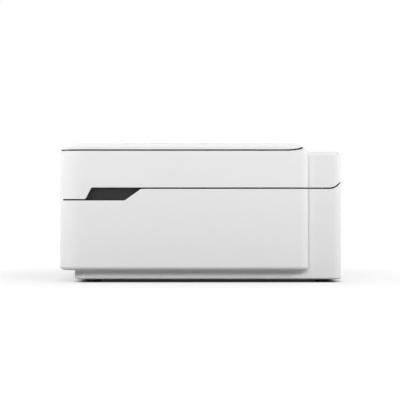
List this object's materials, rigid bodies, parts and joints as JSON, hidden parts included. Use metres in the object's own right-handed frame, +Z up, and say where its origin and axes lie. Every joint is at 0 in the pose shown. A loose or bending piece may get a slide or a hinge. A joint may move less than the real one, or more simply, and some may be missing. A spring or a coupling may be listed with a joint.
{
  "type": "inkjet printer",
  "caption": "All-in-one inkjet printer with a lifting scanner unit, document lid, tilting control panel, front paper cassette, pull-out tray and belt-driven print carriage.",
  "frame": {"origin": "on the table plane under the middle of the overall box", "axes": "+Z up, -Y towards the front with the control panel and the output slot, +X towards the right-hand side cover as seen by the user"},
  "size_m": [0.4, 0.348, 0.171],
  "materials": {
    "casing": "fine matte texture, white",
    "frame": "satin black",
    "rubber": "matte",
    "roller": "fine ground rubber on a steel shaft",
    "steel": "zinc-plated",
    "brass": "machined",
    "glass": "clear, polished",
    "gloss_black": "polished black",
    "panel": "satin charcoal",
    "light_plastic": "natural acetal",
    "white_sheet": "smooth white",
    "board": "green laminate",
    "ink_case": "dark translucent case"
  },
  "bodies": {
    "chassis": {"lower_case": "casing", "right_side_cover": "casing", "left_side_cover": "casing", "feet": "rubber", "frame_right": "frame", "frame_left": "frame", "mid_frame": "frame", "carriage_rail": "steel", "carriage_motor": "steel", "carriage_belt": "rubber", "platen": "frame", "capping_station": "light_plastic", "feed_motor": "steel", "pinch_holder": "frame", "star_wheel_bar": "frame", "power_supply": "frame", "main_board": "board", "scanner_hinge_brackets": "frame"},
    "rear_cover": {"rear_cover": "casing"},
    "scanner": {"scanner_cover": "casing", "scanner_base": "frame", "scan_glass": "glass", "scan_rail": "steel", "scan_motor": "steel", "scan_belt": "rubber", "panel_pocket": "frame"},
    "scan_carriage": {"sensor_holder": "frame", "image_sensor": "gloss_black"},
    "scan_drive_pulley": {"scan_drive_pulley": "light_plastic"},
    "scan_idler_pulley": {"scan_idler_pulley": "light_plastic"},
    "lid_posts": {"lid_posts": "casing"},
    "lid": {"lid": "casing", "lid_pins": "steel", "reflector_plate": "white_sheet"},
    "panel": {"control_panel": "panel", "display": "gloss_black"},
    "power_button": {"power_button": "panel"},
    "cassette": {"cassette_tray": "frame", "cassette_front": "casing"},
    "width_guide_left": {"width_guide_left": "frame"},
    "width_guide_right": {"width_guide_right": "frame"},
    "length_guide": {"length_guide": "frame"},
    "output_tray": {"output_tray": "frame"},
    "tray_stopper": {"tray_stopper": "frame"},
    "carriage": {"print_carriage": "frame", "print_head": "steel", "ink_cartridges": "ink_case"},
    "drive_pulley": {"drive_pulley": "light_plastic"},
    "idler_pulley": {"idler_pulley": "light_plastic"},
    "feed_roller": {"feed_roller": "steel", "feed_gear": "light_plastic"},
    "idler_gear": {"idler_gear": "light_plastic"},
    "eject_roller": {"eject_roller": "roller", "eject_gear": "light_plastic"},
    "motor_pinion": {"motor_pinion": "brass"},
    "star_wheels": {"star_wheels": "steel"},
    "pinch_rollers": {"pinch_rollers": "light_plastic"},
    "pickup_arm": {"pickup_arm": "frame"},
    "pickup_roller": {"pickup_roller": "roller"}
  },
  "joints": [
    {"name": "scanner_hinge", "type": "hinge", "parent": "chassis", "child": "scanner", "pos_m": [0, 0.1592, 0.1351], "axis": [-1, 0, 0], "range_deg": [0, 35]},
    {"name": "lid_lift", "type": "slide", "parent": "scanner", "child": "lid_posts", "axis": [0, 0, 1], "range_m": [0, 0.012]},
    {"name": "lid_hinge", "type": "hinge", "parent": "lid_posts", "child": "lid", "pos_m": [0, 0.1215, 0.168], "axis": [-1, 0, 0], "range_deg": [0, 85]},
    {"name": "panel_tilt", "type": "hinge", "parent": "scanner", "child": "panel", "pos_m": [0, -0.166, 0.1493], "axis": [-1, 0, 0], "range_deg": [0, 45]},
    {"name": "power_press", "type": "slide", "parent": "panel", "child": "power_button", "axis": [0, 1, 0], "range_m": [0, 0.0012], "stiffness_N_per_m": 400},
    {"name": "scan_slide", "type": "slide", "parent": "scanner", "child": "scan_carriage", "axis": [1, 0, 0], "range_m": [0, 0.3]},
    {"name": "scan_drive_spin", "type": "hinge", "parent": "scanner", "child": "scan_drive_pulley", "pos_m": [-0.146, 0.003, 0.139], "axis": [0, 0, 1], "continuous": true},
    {"name": "scan_idler_spin", "type": "hinge", "parent": "scanner", "child": "scan_idler_pulley", "pos_m": [0.146, 0.003, 0.139], "axis": [0, 0, 1], "continuous": true},
    {"name": "cassette_slide", "type": "slide", "parent": "chassis", "child": "cassette", "axis": [0, -1, 0], "range_m": [0, 0.18]},
    {"name": "width_left_slide", "type": "slide", "parent": "cassette", "child": "width_guide_left", "axis": [1, 0, 0], "range_m": [0, 0.05]},
    {"name": "width_right_slide", "type": "slide", "parent": "cassette", "child": "width_guide_right", "axis": [-1, 0, 0], "range_m": [0, 0.05]},
    {"name": "length_slide", "type": "slide", "parent": "cassette", "child": "length_guide", "axis": [0, 1, 0], "range_m": [0, 0.08]},
    {"name": "tray_slide", "type": "slide", "parent": "chassis", "child": "output_tray", "axis": [0, -1, 0], "range_m": [0, 0.12]},
    {"name": "stopper_flip", "type": "hinge", "parent": "output_tray", "child": "tray_stopper", "pos_m": [0, -0.165, 0.0613], "axis": [1, 0, 0], "range_deg": [0, 90]},
    {"name": "rear_cover_pull", "type": "slide", "parent": "chassis", "child": "rear_cover", "axis": [0, 1, 0], "range_m": [0, 0.06]},
    {"name": "carriage_slide", "type": "slide", "parent": "chassis", "child": "carriage", "axis": [-1, 0, 0], "range_m": [0, 0.242]},
    {"name": "drive_pulley_spin", "type": "hinge", "parent": "chassis", "child": "drive_pulley", "pos_m": [-0.1662, 0.087, 0.104], "axis": [0, 1, 0], "continuous": true},
    {"name": "idler_pulley_spin", "type": "hinge", "parent": "chassis", "child": "idler_pulley", "pos_m": [0.1682, 0.087, 0.104], "axis": [0, 1, 0], "continuous": true},
    {"name": "feed_spin", "type": "hinge", "parent": "chassis", "child": "feed_roller", "pos_m": [0, 0.088, 0.066], "axis": [1, 0, 0], "continuous": true},
    {"name": "idler_gear_spin", "type": "hinge", "parent": "chassis", "child": "idler_gear", "pos_m": [0, 0.0548, 0.066], "axis": [1, 0, 0], "continuous": true},
    {"name": "eject_spin", "type": "hinge", "parent": "chassis", "child": "eject_roller", "pos_m": [0, 0.024, 0.066], "axis": [1, 0, 0], "continuous": true},
    {"name": "pinion_spin", "type": "hinge", "parent": "chassis", "child": "motor_pinion", "pos_m": [0, 0.10601, 0.0764], "axis": [1, 0, 0], "continuous": true},
    {"name": "star_spin", "type": "hinge", "parent": "chassis", "child": "star_wheels", "pos_m": [0, 0.024, 0.0745], "axis": [1, 0, 0], "continuous": true},
    {"name": "pinch_spin", "type": "hinge", "parent": "chassis", "child": "pinch_rollers", "pos_m": [0, 0.086, 0.0738], "axis": [1, 0, 0], "continuous": true},
    {"name": "pickup_swing", "type": "hinge", "parent": "chassis", "child": "pickup_arm", "pos_m": [0, 0.062, 0.0465], "axis": [1, 0, 0], "range_deg": [0, 6]},
    {"name": "pickup_spin", "type": "hinge", "parent": "pickup_arm", "child": "pickup_roller", "pos_m": [0, 0.108, 0.0383], "axis": [1, 0, 0], "continuous": true}
  ],
  "couplings": [
    {"joint": "scan_drive_spin", "follows": "scan_slide", "rad_per_m": 172.41},
    {"joint": "scan_idler_spin", "follows": "scan_slide", "rad_per_m": 172.41},
    {"joint": "width_right_slide", "follows": "width_left_slide", "ratio": 1},
    {"joint": "drive_pulley_spin", "follows": "carriage_slide", "rad_per_m": 158.73},
    {"joint": "idler_pulley_spin", "follows": "carriage_slide", "rad_per_m": 158.73},
    {"joint": "idler_gear_spin", "follows": "feed_spin", "ratio": -0.84444},
    {"joint": "eject_spin", "follows": "feed_spin", "ratio": 1.1875},
    {"joint": "pinion_spin", "follows": "feed_spin", "ratio": -2.7143},
    {"joint": "star_spin", "follows": "feed_spin", "ratio": -1.131},
    {"joint": "pinch_spin", "follows": "feed_spin", "ratio": -1.5833}
  ]
}
